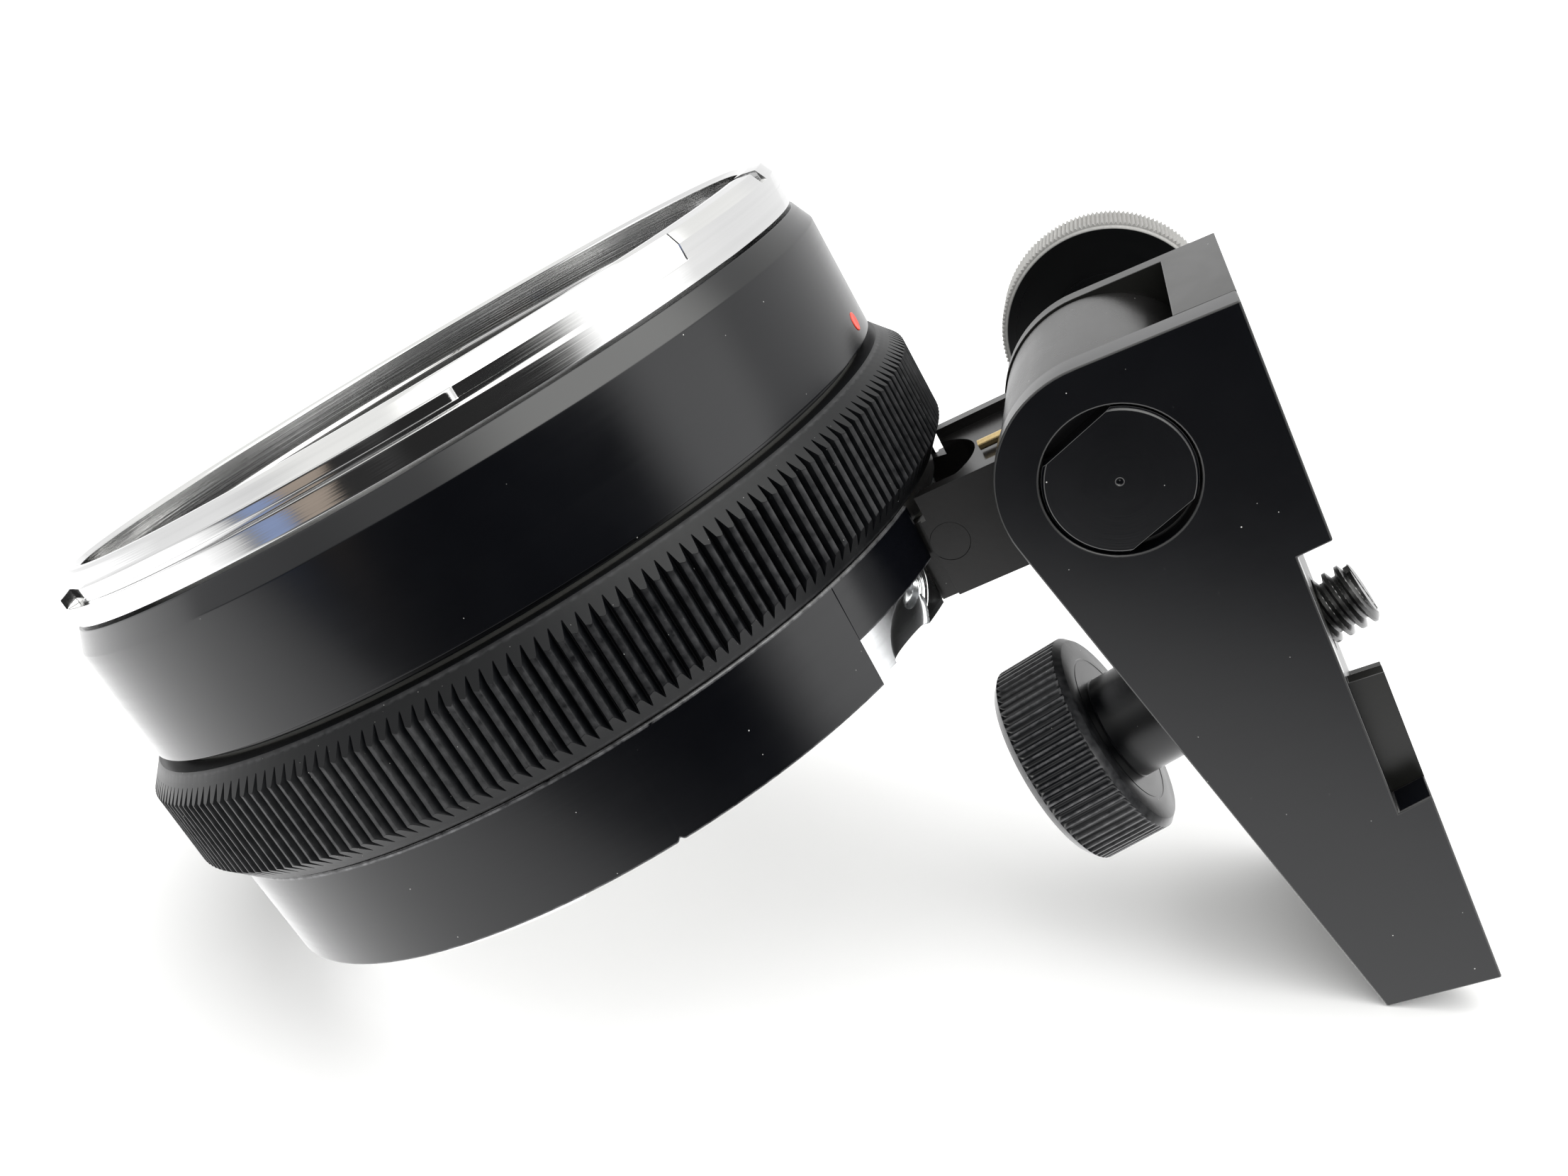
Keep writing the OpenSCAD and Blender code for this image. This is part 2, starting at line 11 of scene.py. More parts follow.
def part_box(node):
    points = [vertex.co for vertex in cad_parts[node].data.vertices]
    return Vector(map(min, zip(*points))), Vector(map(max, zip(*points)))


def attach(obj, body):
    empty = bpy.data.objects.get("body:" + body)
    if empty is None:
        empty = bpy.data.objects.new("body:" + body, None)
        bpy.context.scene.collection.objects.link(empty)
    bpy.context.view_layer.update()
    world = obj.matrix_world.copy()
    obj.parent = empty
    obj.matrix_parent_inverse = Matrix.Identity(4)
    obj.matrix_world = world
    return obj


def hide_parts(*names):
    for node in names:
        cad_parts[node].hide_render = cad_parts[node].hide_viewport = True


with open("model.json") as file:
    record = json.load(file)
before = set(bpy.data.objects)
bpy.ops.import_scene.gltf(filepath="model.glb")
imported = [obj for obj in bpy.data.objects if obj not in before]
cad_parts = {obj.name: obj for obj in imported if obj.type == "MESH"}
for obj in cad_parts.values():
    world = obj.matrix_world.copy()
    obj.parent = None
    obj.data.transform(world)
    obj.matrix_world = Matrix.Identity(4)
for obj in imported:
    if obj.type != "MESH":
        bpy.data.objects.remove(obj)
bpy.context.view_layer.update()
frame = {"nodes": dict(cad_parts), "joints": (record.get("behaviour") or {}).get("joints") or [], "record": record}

# ---- Studio ------------------------------------------------------------------------------------
# A pale seamless table in a white room. The room is brightest on the right and dark where the viewer
# stands. The table's shade toward the viewer is painted shade, a glow that only reflections see.
TABLE_HALF = 4.0
TABLE_WHITE = (0.93, 0.93, 0.92, 1)
ROOM_WHITE = 1.55
# Brightness of the walls by bearing in degrees
ROOM_ROUND = {-180: 0.1, -152: 0.3, -136: 0.8, -118: 1.0, 50: 1.0, 70: 1.05, 82: 2.0, 104: 2.0,
              112: 1.0, 119: 0.1, 126: 0.02, 165: 0.02, 180: 0.1}
CEILING_WHITE, CEILING_FROM, CEILING_FULL = (1.1, 1.1, 1.08, 1), 0.3, 0.55
ROOM_LAMP, LAMP_FROM, LAMP_FULL = (0.346, -0.242, 0.906), 0.7, 0.97
LAMP_GLOW = (4.8, 4.8, 4.656, 1)
# Painted shade of the table, seen only in reflections: its brightness by distance in mm from the
# viewer's side, along a slanted line
TABLE_PAINTED_SHADE = {-400: 0.03, -260: 0.06, -170: 0.12, -140: 0.2, -120: 0.36, -106: 0.8, -85: 1.15,
               -60: 1.55, -20: 1.9, 60: 1.9, 140: 1.1}
TABLE_SLANT, TABLE_OFFSET = -0.33, 0.009
# Colours of two painted reflections, tinted patches that only reflections of the table show
WARM_PAINTED_REFLECTION, BLUE_PAINTED_REFLECTION = (0.43, 0.36, 0.3, 1), (0.3, 0.38, 0.6, 1)
PATCH_SIDE_BLUR, PATCH_END_BLUR = 0.008, 0.02


def put(tree, kind, settings=None, **inputs):
    """Adds a shader node. Inputs are named, or numbered as i0, i1; a socket is linked, a value is set."""
    node = tree.nodes.new("ShaderNode" + kind)
    for key, value in (settings or {}).items():
        setattr(node, key, value)
    for key, value in inputs.items():
        numbered = key[0] == "i" and key[1:].isdigit()
        socket = node.inputs[int(key[1:])] if numbered else node.inputs[key.replace("_", " ")]
        if isinstance(value, bpy.types.NodeSocket):
            tree.links.new(value, socket)
        else:
            socket.default_value = value
    return node


def maths(tree, operation, a, b=0.0, c=0.0):
    """The result of one Math node."""
    return put(tree, "Math", {"operation": operation}, i0=a, i1=b, i2=c).outputs[0]


def grey_ramp(tree, factor, stops, low, high):
    """A ramp of greys over stops given as value: brightness, for a factor that runs from low to high."""
    ramp = put(tree, "ValToRGB", Fac=maths(tree, "DIVIDE", maths(tree, "SUBTRACT", factor, low), high - low))
    band = ramp.color_ramp
    places = sorted(stops)
    while len(band.elements) < len(places):
        band.elements.new(0.5)
    for element, place in zip(band.elements, places):
        element.position = (place - low) / (high - low)
        element.color = (*[stops[place]] * 3, 1)
    return ramp.outputs[0]


world = bpy.data.worlds.new("white room")
bpy.context.scene.world = world
world.use_nodes = True
sky = world.node_tree
sky.nodes.clear()
look = put(sky, "SeparateXYZ", Vector=put(sky, "TexCoord").outputs["Generated"]).outputs
bearing = maths(sky, "MULTIPLY", maths(sky, "ARCTAN2", look["X"], look["Y"]), math.degrees(1))
walls = grey_ramp(sky, bearing, ROOM_ROUND, -180, 180)
overhead = put(sky, "MapRange", {"interpolation_type": "SMOOTHSTEP"}, i0=look["Z"], i1=CEILING_FROM,
               i2=CEILING_FULL).outputs[0]
room = put(sky, "Mix", {"data_type": "RGBA"}, i0=overhead, i6=walls, i7=CEILING_WHITE).outputs[2]
toward = put(sky, "VectorMath", {"operation": "DOT_PRODUCT"}, i0=put(sky, "TexCoord").outputs["Generated"],
             i1=ROOM_LAMP).outputs["Value"]
lobe = put(sky, "MapRange", {"interpolation_type": "SMOOTHSTEP"}, i0=toward, i1=LAMP_FROM,
           i2=LAMP_FULL).outputs[0]
room = put(sky, "Mix", {"data_type": "RGBA"}, i0=lobe, i6=room, i7=LAMP_GLOW).outputs[2]
gloss = put(sky, "LightPath").outputs["Is Glossy Ray"]
plain = (ROOM_WHITE, ROOM_WHITE, ROOM_WHITE, 1)
seen = put(sky, "Mix", {"data_type": "RGBA"}, i0=gloss, i6=plain, i7=room).outputs[2]
put(sky, "OutputWorld", Surface=put(sky, "Background", Color=seen).outputs[0])

bpy.ops.mesh.primitive_plane_add(size=2 * TABLE_HALF)
table = bpy.context.object
table.name = "table"
paint = bpy.data.materials.new("pale table")
paint.use_nodes = True
cloth = paint.node_tree
cloth.nodes.clear()
spot = put(cloth, "SeparateXYZ", Vector=put(cloth, "TexCoord").outputs["Object"]).outputs
# Painted shade: the table's colour for reflections darkens toward the viewer along a slanted line
depth = maths(cloth, "MULTIPLY_ADD", spot["X"], TABLE_SLANT, maths(cloth, "ADD", spot["Y"], TABLE_OFFSET))
painted_table_light = grey_ramp(cloth, maths(cloth, "MULTIPLY", depth, 1000.0), TABLE_PAINTED_SHADE, -400, 140)


def painted_reflection_patch(tree, under, colour, x_from, x_to, y_from, y_to):
    """A painted reflection on the table: a tinted patch that only reflections see, its colour between four soft
    limits in metres.
    """
    ramps = ((spot["X"], x_from - PATCH_SIDE_BLUR, x_from), (spot["X"], x_to + PATCH_SIDE_BLUR, x_to),
             (spot["Y"], y_from - PATCH_END_BLUR, y_from), (spot["Y"], y_to + PATCH_END_BLUR, y_to))
    share = 1.0
    for value, outside, inside in ramps:
        ramp = put(tree, "MapRange", i0=value, i1=outside, i2=inside).outputs[0]
        share = maths(tree, "MULTIPLY", share, ramp)
    return put(tree, "Mix", {"data_type": "RGBA"}, i0=share, i6=under, i7=colour).outputs[2]


# Two painted reflections, a warm patch and a blue one, in the table's colour for reflections
painted_table_light = painted_reflection_patch(cloth, painted_table_light, WARM_PAINTED_REFLECTION, -0.13, -0.06, -0.6, -0.26)
painted_table_light = painted_reflection_patch(cloth, painted_table_light, BLUE_PAINTED_REFLECTION, -0.13, -0.085, -0.235, -0.185)
matt = put(cloth, "BsdfDiffuse", Color=TABLE_WHITE).outputs[0]
# The painted shade glows for reflections only; camera and diffuse rays see the plain white table
painted_glow = put(cloth, "Emission", Color=painted_table_light).outputs[0]
mirror_side = put(cloth, "LightPath").outputs["Is Glossy Ray"]
put(cloth, "OutputMaterial", Surface=put(cloth, "MixShader", i0=mirror_side, i1=matt, i2=painted_glow).outputs[0])
table.data.materials.append(paint)

# ---- Lights and camera -------------------------------------------------------------------------
# One wide soft light overhead lifts the table to white; the camera looks down along the bracket.
LENS_MM = 35.8
SENSOR_MM = 36
EYE = (0.02515, -0.14053, 0.09734)
HEADING, DIP, ROLL = 10.01, 24.19, -0.73

lamp = bpy.data.lights.new("ceiling panel", "AREA")
lamp.shape, lamp.size, lamp.energy = "DISK", 1.6, 9
ceiling = bpy.data.objects.new("ceiling panel", lamp)
ceiling.location = (0.1, 0.25, 1.3)
ceiling.rotation_euler = (Vector(ceiling.location)).to_track_quat("Z", "Y").to_euler()
ceiling.visible_glossy = False
bpy.context.scene.collection.objects.link(ceiling)

eye = bpy.data.cameras.new("camera")
eye.lens, eye.sensor_width = LENS_MM, SENSOR_MM
eye.clip_start, eye.clip_end = 0.005, 20
camera = bpy.data.objects.new("camera", eye)
turn = (Matrix.Rotation(math.radians(HEADING), 4, "Z") @ Matrix.Rotation(math.radians(90 - DIP), 4, "X")
        @ Matrix.Rotation(math.radians(ROLL), 4, "Z"))
camera.matrix_world = Matrix.Translation(EYE) @ turn
bpy.context.scene.collection.objects.link(camera)
bpy.context.scene.camera = camera
bpy.context.scene.view_settings.view_transform = "Standard"

# ---- Front bayonet -----------------------------------------------------------------------------
# The bright mount at the front: a flange, a collar with its lugs and a thin inner flange. It is
# turned from brass in one piece, milled between the lugs, then plated.
joints = {joint["name"]: joint for joint in frame["joints"]}
mounts = {mount["name"]: mount for mount in frame["record"]["mounts"]}
MM = 0.001
SAME_POINT = 4e-7


def place_of(origin, along_z):
    """4x4 place of a piece whose own Z is along_z and whose Y stays on the hinge's line."""
    z = np.array(along_z, float) / np.linalg.norm(along_z)
    y = np.array([0.0, 1, 0])
    x = np.cross(y, z)
    place = np.eye(4)
    place[:3, :3] = np.stack([x / np.linalg.norm(x), y, z], 1)
    place[:3, 3] = origin
    return place


GRIP_DEPTH = 20 * MM
ring_axis = np.array(joints["grip_turn"]["axis"], float)
ring_place = place_of(np.array(joints["grip_turn"]["pos_m"]) + GRIP_DEPTH * ring_axis, ring_axis)


def mesh_of(name, points, faces, edge=None):
    """A mesh object at the origin, with its doubles merged and its faces turned outwards.

    edge is a weight from 0 to 1 at each point that says where the finish wears."""
    data = bpy.data.meshes.new(name)
    data.from_pydata(points.tolist(), [], faces.tolist())
    if edge is not None:
        weights = data.attributes.new("edge", "FLOAT", "POINT")
        weights.data.foreach_set("value", edge.reshape(-1).astype(np.float32))
    work = bmesh.new()
    work.from_mesh(data)
    bmesh.ops.remove_doubles(work, verts=work.verts, dist=SAME_POINT)
    bmesh.ops.recalc_face_normals(work, faces=work.faces)
    if work.calc_volume(signed=True) < 0:
        bmesh.ops.reverse_faces(work, faces=work.faces)
    work.to_mesh(data)
    work.free()
    data.shade_smooth()
    piece = bpy.data.objects.new(name, data)
    bpy.context.scene.collection.objects.link(piece)
    return piece


def quads(rows, columns, around, closed):
    """Corner numbers of the quads between the neighbours of a grid, taken row by row."""
    order = np.arange(rows * columns).reshape(rows, columns)
    if around:
        order = np.vstack([order, order[:1]])
    if closed:
        order = np.hstack([order, order[:, :1]])
    return np.stack([order[:-1, :-1], order[1:, :-1], order[1:, 1:], order[:-1, 1:]], -1).reshape(-1, 4)


def in_metres(points, place):
    """Points in mm in a piece's own place, as points in metres in the shared frame."""
    return points.reshape(-1, 3) * MM @ place[:3, :3].T + place[:3, 3]


def skin(name, grid, place, around=True, closed=True, edge=None):
    """One surface through a grid of points in mm: a quad between each four neighbours.

    around joins the last row to the first, closed the last column to the first."""
    faces = quads(*grid.shape[:2], around, closed)
    return mesh_of(name, in_metres(grid, place), faces, edge)


CURVE_SHARE, FIRM_SHARE = 0.28, 0.45


def rounded(corners, radius):
    """Outline corners, in the last two axes, each turned into a short curve between two firm points.

    The curve is the quadratic from one side to the other with the corner as its middle control.
    Returns the points and a weight that is 1 on the curves of outward corners."""
    p = np.asarray(corners, float)
    back, ahead = np.roll(p, 1, -2) - p, np.roll(p, -1, -2) - p
    long_back = np.linalg.norm(back, axis=-1, keepdims=True)
    long_ahead = np.linalg.norm(ahead, axis=-1, keepdims=True)
    reach = np.minimum(radius, CURVE_SHARE * np.minimum(long_back, long_ahead))
    back, ahead = back / long_back, ahead / long_ahead
    bend = np.array([0, 0.34, 0.66, 1])
    curve = [p + reach * ((1 - w) ** 2 * back + w ** 2 * ahead) for w in bend]
    firm = np.minimum(3 * reach, FIRM_SHARE * long_back), np.minimum(3 * reach, FIRM_SHARE * long_ahead)
    line = np.stack([p + back * firm[0], *curve, p + ahead * firm[1]], -2)
    outward = (back[..., 1] * ahead[..., 0] - back[..., 0] * ahead[..., 1]) > 0
    weight = outward[..., None] * np.array([0.0, 1, 1, 1, 1, 0])
    return line.reshape(*p.shape[:-2], -1, 2), weight.reshape(*p.shape[:-2], -1)


def spun(profile, degrees):
    """Grid of a profile of radius and height carried round Z: x = r cos a, y = r sin a."""
    a = np.radians(degrees)[:, None]
    r, z = profile[..., 0] + 0 * a, profile[..., 1] + 0 * a
    return np.stack([r * np.cos(a), r * np.sin(a), z], -1)


def even_shading(piece):
    """Lets the broad faces set the shading, so that small rounds stay crisp."""
    soft = piece.modifiers.new("even shading", "WEIGHTED_NORMAL")
    soft.keep_sharp = True
    soft.weight = 80


def step(value, start, width):
    """0 before start and 1 after it, over the given width."""
    return np.clip((value - start) / width + 0.5, 0, 1)


BAYONET = {"flange": 39.3, "collar": 38.2, "bore": 36.2, "throat": 34.0, "low": 0.3, "flange_top": 2.2,
           "ledge": 1.6, "rim": 5.0}
LUG_REACH, LUG_LOW, LUG_HIGH = 0.75, 2.65, 3.6
FAR_LUG_MORE, FAR_LUG_DROP = 0.44, 0.42
LUGS = ((-124, -60.5), (76, 129), (155, 180), (-180, -134))
BLOCK = (-27, 43)
BLOCK_STEP, BLOCK_RUN, BLOCK_LIP = 1.07, 10.0, 0.86
RIM_TAPER = 0.6
NOTCH_HALF, NOTCH_DEPTH = 1.6, 0.9
LUG_ROUND, SHARP, FIT_GAP, LUG_TO_RIM, LIP = 1.2, 0.1, 0.006, 0.4, 0.35
ends = [e for pair in (*LUGS, BLOCK, (-NOTCH_HALF, NOTCH_HALF)) for e in pair]
near_ends = np.array([-1.2, -1, -0.8, -0.6, -0.4, -0.25, -0.12, -0.05, 0.05, 0.12, 0.25, 0.4, 0.6])
bearings = np.unique(np.concatenate([np.arange(-180, 180, 0.5), *[e + near_ends for e in ends]]))
bearings = bearings[(bearings >= -180) & (bearings < 180)]
lug = 0
for start, end in LUGS[:2]:
    rising = 1 - (1 - step(bearings, start + LUG_ROUND / 2, LUG_ROUND)) ** 2
    falling = 1 - step(bearings, end - LUG_ROUND / 2, LUG_ROUND) ** 2
    lug = lug + np.sqrt(rising) * np.sqrt(falling)
far_lug = step(bearings, LUGS[2][0], SHARP) + (1 - step(bearings, LUGS[3][1], SHARP))
lug = lug + far_lug
lug_low, lug_high = LUG_LOW - FAR_LUG_DROP * far_lug, LUG_HIGH - FAR_LUG_DROP * far_lug
# The cutter runs out of the recess in a slow curve, and leaves a small lip where it stops
run_in = BLOCK_LIP * np.clip((bearings - BLOCK[0]) / BLOCK_RUN + 1, 0, 1) ** 2
block = np.maximum(run_in, step(bearings, BLOCK[0], SHARP)) * (1 - step(bearings, BLOCK[1], SHARP))
notch = step(bearings, -NOTCH_HALF, SHARP) * (1 - step(bearings, NOTCH_HALF, SHARP))
rim = BAYONET["rim"] - NOTCH_DEPTH * notch
wall = BAYONET["collar"] + BLOCK_STEP * block
lug_wall = wall + FIT_GAP + LUG_REACH * lug + FAR_LUG_MORE * far_lug
same = np.ones_like(bearings)
corners = np.stack([
    np.stack([BAYONET["throat"] * same, BAYONET["low"] * same], -1),
    np.stack([BAYONET["flange"] * same, BAYONET["low"] * same], -1),
    np.stack([BAYONET["flange"] * same, BAYONET["flange_top"] * same], -1),
    np.stack([wall, BAYONET["flange_top"] * same], -1),
    np.stack([wall, lug_low], -1),
    np.stack([lug_wall, lug_low], -1),
    np.stack([lug_wall, np.minimum(lug_high, rim - LUG_TO_RIM)], -1),
    np.stack([wall, np.minimum(lug_high, rim - LUG_TO_RIM)], -1),
    np.stack([wall - RIM_TAPER, rim - 0.25], -1),
    np.stack([BAYONET["collar"] - RIM_TAPER - 0.2 * same, rim], -1),
    np.stack([BAYONET["bore"] + LIP * same, rim], -1),
    np.stack([BAYONET["bore"] * same, rim - LIP], -1),
    np.stack([BAYONET["bore"] * same, BAYONET["ledge"] * same], -1),
    np.stack([BAYONET["throat"] * same, BAYONET["ledge"] * same], -1)], 1)
line, wear = rounded(corners, 0.07)
bayonet = skin("bright_bayonet", spun(line, bearings), ring_place, edge=wear)
bayonet.data.set_sharp_from_angle(angle=math.radians(38))


def socket_group(name, inputs, outputs):
    """An empty shader node group with named sockets, and its input and output nodes' sockets."""
    tree = bpy.data.node_groups.new(name, "ShaderNodeTree")
    for label, kind, value in inputs:
        socket = tree.interface.new_socket(label, in_out="INPUT", socket_type="NodeSocket" + kind)
        socket.default_value = value
    for label, kind in outputs:
        tree.interface.new_socket(label, in_out="OUTPUT", socket_type="NodeSocket" + kind)
    return tree, tree.nodes.new("NodeGroupInput").outputs, tree.nodes.new("NodeGroupOutput").inputs


# Tool lines of the lathe: thin rings in radius and height, each a little uneven round its turn
turned_lines, given, made = socket_group(
    "lathe lines", [("Vector", "Vector", (0, 0, 0)), ("Fineness", "Float", 9.0)],
    [("Height", "Float"), ("Streak", "Float")])
axes = put(turned_lines, "SeparateXYZ", Vector=given["Vector"]).outputs
squares = [maths(turned_lines, "MULTIPLY", axes[letter], axes[letter]) for letter in "XY"]
reach = maths(turned_lines, "SQRT", maths(turned_lines, "ADD", *squares))
swing = maths(turned_lines, "ARCTAN2", axes["Y"], axes["X"])
spiral = put(turned_lines, "CombineXYZ", X=maths(turned_lines, "MULTIPLY", reach, given["Fineness"]),
             Y=maths(turned_lines, "MULTIPLY", axes["Z"], given["Fineness"]),
             Z=maths(turned_lines, "MULTIPLY", swing, 1.2)).outputs[0]
fine = put(turned_lines, "TexNoise", Vector=spiral, Scale=1.0, Detail=3.0).outputs["Fac"]
broad = put(turned_lines, "TexNoise", Vector=spiral, Scale=0.23, Detail=2.0).outputs["Fac"]
turned_lines.links.new(fine, made["Height"])
turned_lines.links.new(broad, made["Streak"])

# Dust and lint: small specks in scattered cells, thicker in some patches than in others
SPECK_SIZE = 0.06
dust, given, made = socket_group(
    "dust", [("Vector", "Vector", (0, 0, 0)), ("Cells", "Float", 0.9), ("Share", "Float", 0.5)],
    [("Mask", "Float")])
cells = put(dust, "TexVoronoi", Vector=given["Vector"], Scale=given["Cells"])
chance = put(dust, "SeparateXYZ", Vector=cells.outputs["Color"]).outputs
size = maths(dust, "MULTIPLY", maths(dust, "MULTIPLY", chance["X"], chance["X"]), SPECK_SIZE)
speck = maths(dust, "LESS_THAN", cells.outputs["Distance"], size)
kept = maths(dust, "LESS_THAN", chance["Y"], given["Share"])
dust.links.new(maths(dust, "MULTIPLY", speck, kept), made["Mask"])

# Worn corners: the edge weight broken up by noise, so that bright metal shows only here and there
worn, given, made = socket_group(
    "worn corners", [("Edge", "Float", 0.0), ("Vector", "Vector", (0, 0, 0)), ("Amount", "Float", 0.5)],
    [("Mask", "Float")])
patch = put(worn, "TexNoise", Vector=given["Vector"], Scale=1.3, Detail=5.0).outputs["Fac"]
bite = put(worn, "MapRange", i0=patch, i1=0.72, i2=0.3, i3=0.0, i4=1.0).outputs[0]
bitten = maths(worn, "MULTIPLY", given["Edge"], bite)
worn.links.new(maths(worn, "MULTIPLY", bitten, given["Amount"]), made["Mask"])

# Uneven sheen: slow clouds with a little fine grain, for roughness and for shallow relief
sheen, given, made = socket_group(
    "uneven sheen", [("Vector", "Vector", (0, 0, 0)), ("Grain", "Float", 12.0)],
    [("Cloud", "Float"), ("Grain", "Float")])
cloud = put(sheen, "TexNoise", Vector=given["Vector"], Scale=0.12, Detail=4.0).outputs["Fac"]
grain = put(sheen, "TexNoise", Vector=given["Vector"], Scale=given["Grain"], Detail=2.0).outputs["Fac"]
sheen.links.new(cloud, made["Cloud"])
sheen.links.new(grain, made["Grain"])


def start_finish(name, place):
    """A new material with its shader, and coordinates in mm in the piece's own place."""
    finish = bpy.data.materials.new(name)
    finish.use_nodes = True
    tree = finish.node_tree
    shader = tree.nodes["Principled BSDF"]
    where = put(tree, "Mapping", {"vector_type": "TEXTURE"}, Vector=put(tree, "TexCoord").outputs["Object"],
                Location=tuple(place[:3, 3]), Rotation=tuple(Matrix(place.tolist()).to_euler()),
                Scale=(MM, MM, MM)).outputs[0]
    return finish, tree, shader, where


def use(tree, group, **inputs):
    """Places a node group and returns its outputs."""
    node = tree.nodes.new("ShaderNodeGroup")
    node.node_tree = group
    for key, value in inputs.items():
        if isinstance(value, bpy.types.NodeSocket):
            tree.links.new(value, node.inputs[key])
        else:
            node.inputs[key].default_value = value
    return node.outputs


def blend_colour(tree, factor, a, b):
    """The colour a where factor is 0 and b where it is 1."""
    return put(tree, "Mix", {"data_type": "RGBA"}, i0=factor, i6=a, i7=b).outputs[2]


def bright_metal(name, place, colour, roughness, fineness, relief, specks=0.3):
    """Turned bright metal: lathe lines in the relief and the gloss, faint clouds and a few dark pits."""
    finish, tree, shader, where = start_finish(name, place)
    lines = use(tree, turned_lines, Vector=where, Fineness=fineness)
    tone = use(tree, sheen, Vector=where)
    pits = use(tree, dust, Vector=where, Cells=0.8, Share=specks)["Mask"]
    dull = tuple(0.82 * c for c in colour[:3]) + (1,)
    base = blend_colour(tree, lines["Streak"], colour, dull)
    tree.links.new(blend_colour(tree, pits, base, (0.06, 0.055, 0.05, 1)), shader.inputs["Base Color"])
    rough = maths(tree, "MULTIPLY_ADD", lines["Streak"], 0.1, roughness - 0.05)
    rough = maths(tree, "MULTIPLY_ADD", tone["Cloud"], 0.06, maths(tree, "SUBTRACT", rough, 0.03))
    tree.links.new(rough, shader.inputs["Roughness"])
    shader.inputs["Metallic"].default_value = 1
    tree.links.new(put(tree, "Bump", Height=lines["Height"], Strength=relief, Distance=0.00002).outputs[0],
                   shader.inputs["Normal"])
    return finish


plated = bright_metal("plated bayonet", ring_place, (0.8, 0.8, 0.8, 1), 0.1, 6.0, 0.22)
bayonet.data.materials.append(plated)
even_shading(bayonet)
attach(bayonet, "ring")
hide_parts("front_bayonet")

# ---- Bayonet screws ----------------------------------------------------------------------------
# Four small slotted screws in the inner flange. Each is a shallow dome with a sawn slot.
SCREW_RING, SCREW_BEARINGS, SCREW_HEAD, SLOT_HALF = 35.1, (20, 110, 200, 290), 0.85, 0.13
DOME, SLOT_DEPTH = 0.1, 0.12


def slotted_heads(name, places, height, radius, slot_half):
    """Domed heads on the ring's small screw circle: z falls as the square of r, and drops in the slot."""
    r = radius * np.array([0, 0.08, 0.16, 0.3, 0.5, 0.75, 0.93, 1, 1, 0.97])
    skirt = np.array([0, 0, 0, 0, 0, 0, 0.01, 0.05, 0.3, 0.34])
    a = np.radians(np.arange(0, 360, 7.5))[:, None]
    x, y = r * np.cos(a), r * np.sin(a)
    in_slot = (np.abs(y) < slot_half) * (skirt < 0.02)
    z = DOME * (1 - (r / radius) ** 2) - skirt - SLOT_DEPTH * in_slot
    points, faces = [], []
    for k, t in enumerate(np.radians(places)):
        out, along = SCREW_RING + x, y
        points.append(np.stack([out * math.cos(t) - along * math.sin(t),
                                out * math.sin(t) + along * math.cos(t), height + z], -1))
        faces.append(quads(*x.shape, True, False) + k * x.size)
    return mesh_of(name, in_metres(np.concatenate(points), ring_place), np.concatenate(faces))


heads = slotted_heads("bayonet_screw_heads", SCREW_BEARINGS, BAYONET["ledge"] + 0.03, SCREW_HEAD, SLOT_HALF)
heads.data.materials.append(bright_metal("screw steel", ring_place, (0.45, 0.44, 0.42, 1), 0.25, 14.0, 0.3))
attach(heads, "ring")
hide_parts("bayonet_screws")

# ---- Front barrel ------------------------------------------------------------------------------
# Aluminium tube between the bayonet and the grip ring. It is turned, chamfered at its front edge
# and anodised satin black.
BARREL_CORNERS = ((34.2, 0), (39.45, 0), (40.45, -2.05), (40.45, -13.3), (39.3, -13.3), (39.3, -13.9),
                  (37.4, -13.9), (37.4, -1.8), (34.2, -1.8))
around = np.arange(0, 360, 0.5)
line, wear = rounded(BARREL_CORNERS, 0.06)
barrel = skin("front_barrel_tube", spun(line, around), ring_place, edge=np.tile(wear, (len(around), 1)))


def black_finish(name, place, colour, roughness, lines=6.0, relief=0.15, wear=0.4, specks=0.35,
                 grain=0.0, cells=0.9):
    """Black anodised metal: clouds in the gloss, faint tool lines or blasted grain, worn corners and dust."""
    finish, tree, shader, where = start_finish(name, place)
    tone = use(tree, sheen, Vector=where)
    rings = use(tree, turned_lines, Vector=where, Fineness=lines)
    edge = put(tree, "Attribute", {"attribute_name": "edge"}).outputs["Fac"]
    bare = use(tree, worn, Edge=edge, Vector=where, Amount=wear)["Mask"]
    lint = use(tree, dust, Vector=where, Cells=cells, Share=specks)["Mask"]
    lighter = tuple(2.2 * c for c in colour[:3]) + (1,)
    base = blend_colour(tree, tone["Cloud"], colour, lighter)
    base = blend_colour(tree, bare, base, (0.42, 0.42, 0.43, 1))
    tree.links.new(blend_colour(tree, lint, base, (0.5, 0.5, 0.48, 1)), shader.inputs["Base Color"])
    tree.links.new(bare, shader.inputs["Metallic"])
    rough = maths(tree, "MULTIPLY_ADD", tone["Cloud"], 0.14, roughness - 0.07)
    tree.links.new(maths(tree, "MULTIPLY_ADD", rings["Streak"], 0.06, maths(tree, "SUBTRACT", rough, 0.03)),
                   shader.inputs["Roughness"])
    height = maths(tree, "MULTIPLY_ADD", tone["Grain"], grain, rings["Height"])
    tree.links.new(put(tree, "Bump", Height=height, Strength=relief, Distance=0.00002).outputs[0],
                   shader.inputs["Normal"])
    return finish


SATIN_BLACK = (0.0009, 0.0011, 0.0018, 1)
satin = black_finish("satin black barrel", ring_place, SATIN_BLACK, 0.2, specks=0.3)
barrel.data.materials.append(satin)
even_shading(barrel)
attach(barrel, "ring")
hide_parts("front_barrel")

